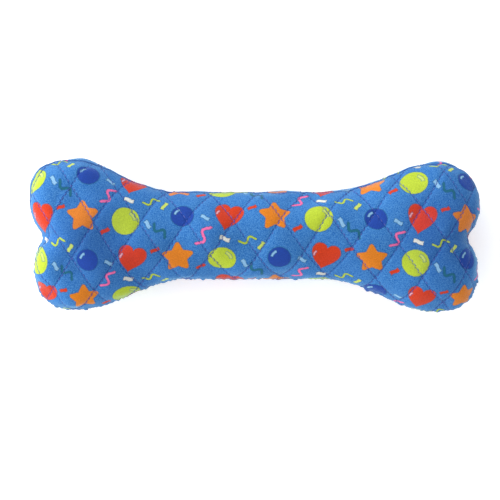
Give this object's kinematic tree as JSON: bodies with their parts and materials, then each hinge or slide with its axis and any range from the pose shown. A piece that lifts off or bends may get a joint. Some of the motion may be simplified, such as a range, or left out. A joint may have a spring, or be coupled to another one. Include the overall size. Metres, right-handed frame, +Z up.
{
  "type": "squeaky dog toy",
  "caption": "Stuffed, quilted bone-shaped dog toy of printed plush, with rounded lobes at both ends and a squeaker inside that sounds when the toy is squeezed.",
  "frame": {"origin": "on the surface that the toy lies on, under the middle of the bone", "axes": "+X along the bone, +Y across it towards the top of the picture, +Z up through the front panel"},
  "size_m": [0.3036, 0.1023, 0.0605],
  "materials": {
    "printed_plush": "short-pile plush printed in bright colours on blue, matte with a soft sheen",
    "wadding": "bonded polyester wadding, matte white",
    "fibre_filling": "loose polyester fibre, matte white",
    "sewing_thread": "twisted polyester thread, navy, slight sheen",
    "soft_vinyl": "soft moulded vinyl, satin",
    "whistle_plastic": "moulded plastic, slightly glossy",
    "reed_film": "thin polyester film, amber and glossy"
  },
  "bodies": {
    "back_half": {"back_cover": "printed_plush", "back_wadding": "wadding", "seam_thread": "sewing_thread", "closing_thread": "sewing_thread", "shaft_filling_back": "fibre_filling", "left_upper_lobe_filling": "fibre_filling", "left_lower_lobe_filling": "fibre_filling", "right_upper_lobe_filling": "fibre_filling", "right_lower_lobe_filling": "fibre_filling", "squeaker_bladder": "soft_vinyl"},
    "front_half": {"front_cover": "printed_plush", "front_wadding": "wadding", "shaft_filling_front": "fibre_filling"},
    "whistle": {"whistle_barrel": "whistle_plastic", "whistle_plug": "whistle_plastic", "reed_clamp": "whistle_plastic"},
    "reed_strip": {"reed": "reed_film"}
  },
  "joints": [
    {"name": "squeeze", "type": "slide", "parent": "back_half", "child": "front_half", "axis": [0, 0, -1], "range_m": [0, 0.02], "stiffness_N_per_m": 600, "deforming": ["front_cover", "front_wadding", "shaft_filling_front", "shaft_filling_back", "left_upper_lobe_filling", "left_lower_lobe_filling", "right_upper_lobe_filling", "right_lower_lobe_filling", "squeaker_bladder"]},
    {"name": "squeaker_stroke", "type": "slide", "parent": "back_half", "child": "whistle", "axis": [0, 0, -1], "range_m": [0, 0.0148]},
    {"name": "reed_flutter", "type": "hinge", "parent": "whistle", "child": "reed_strip", "pos_m": [0, 0, 0.0333], "axis": [0, 1, 0], "range_deg": [-2, 4], "stiffness_Nm_per_rad": 0.00002}
  ],
  "couplings": [
    {"joint": "squeaker_stroke", "follows": "squeeze", "ratio": 0.74}
  ]
}
